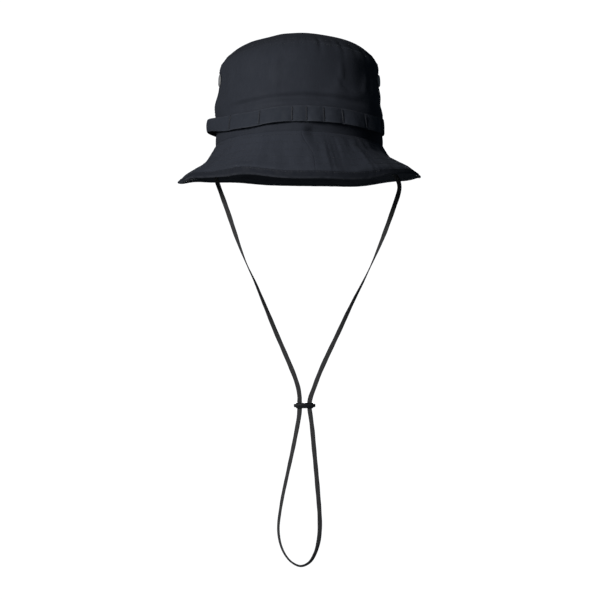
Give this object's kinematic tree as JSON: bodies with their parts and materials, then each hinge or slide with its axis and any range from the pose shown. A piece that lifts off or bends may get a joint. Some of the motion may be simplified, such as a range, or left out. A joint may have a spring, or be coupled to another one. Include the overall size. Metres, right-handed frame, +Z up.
{
  "type": "bucket hat",
  "caption": "Soft bucket hat with a domed tip, a tacked loop band round the crown, side vents, a drooping brim and a flat chin cord with a sliding lock.",
  "frame": {"origin": "centre of the head opening, level with the seam between crown and brim", "axes": "+Z up through the crown, -Y out of the front, +X to the right as seen from the front"},
  "size_m": [0.2594, 0.2663, 0.5585],
  "materials": {
    "crown_cloth": "matte plain-weave cotton, dark navy",
    "brim_cloth": "matte plain-weave cotton, stitched in rows, dark navy",
    "brim_under_cloth": "matte plain-weave cotton, near black",
    "band_webbing": "folded cloth tape, matte, dark navy",
    "edge_binding": "folded bias tape, matte, dark navy",
    "sweatband": "brushed twill, matte, near black",
    "seam_tape": "woven tape, matte, near black",
    "stiffener": "non-woven interlining, matte grey",
    "thread": "polyester sewing thread, slight sheen, dark navy",
    "eyelet_metal": "gunmetal plate, satin",
    "washer_metal": "stamped washer, satin grey",
    "anchor_webbing": "folded cloth tab, matte, near black",
    "lace": "flat braided lace, matte, black",
    "lock_plastic": "moulded, satin, near black"
  },
  "bodies": {
    "hat": {"crown_tip": "crown_cloth", "crown_front_panel": "crown_cloth", "crown_back_panel": "crown_cloth", "tip_seam_binding": "seam_tape", "side_seam_tape_left": "seam_tape", "side_seam_tape_right": "seam_tape", "brim_upper_left": "brim_cloth", "brim_upper_right": "brim_cloth", "brim_stiffener": "stiffener", "brim_under_left": "brim_under_cloth", "brim_under_right": "brim_under_cloth", "brim_edge_binding": "edge_binding", "sweatband": "sweatband", "loop_band": "band_webbing", "band_side_loop": "band_webbing", "band_bartacks": "thread", "vent_eyelets_left": "eyelet_metal", "vent_eyelets_right": "eyelet_metal", "vent_washers_left": "washer_metal", "vent_washers_right": "washer_metal", "cord_anchor_left": "anchor_webbing", "cord_anchor_right": "anchor_webbing"},
    "chin_cord": {"chin_cord_left_leg": "lace", "chin_cord_right_leg": "lace", "chin_cord_loop": "lace"},
    "cord_lock": {"cord_lock": "lock_plastic"}
  },
  "joints": [
    {"name": "cord_swing", "type": "hinge", "parent": "hat", "child": "chin_cord", "pos_m": [0, 0, -0.015], "axis": [1, 0, 0], "range_deg": [-45, 45]},
    {"name": "lock_slide", "type": "slide", "parent": "chin_cord", "child": "cord_lock", "axis": [0, 0, 1], "range_m": [-0.08, 0.12], "deforming": ["chin_cord_left_leg", "chin_cord_right_leg", "chin_cord_loop"]}
  ]
}
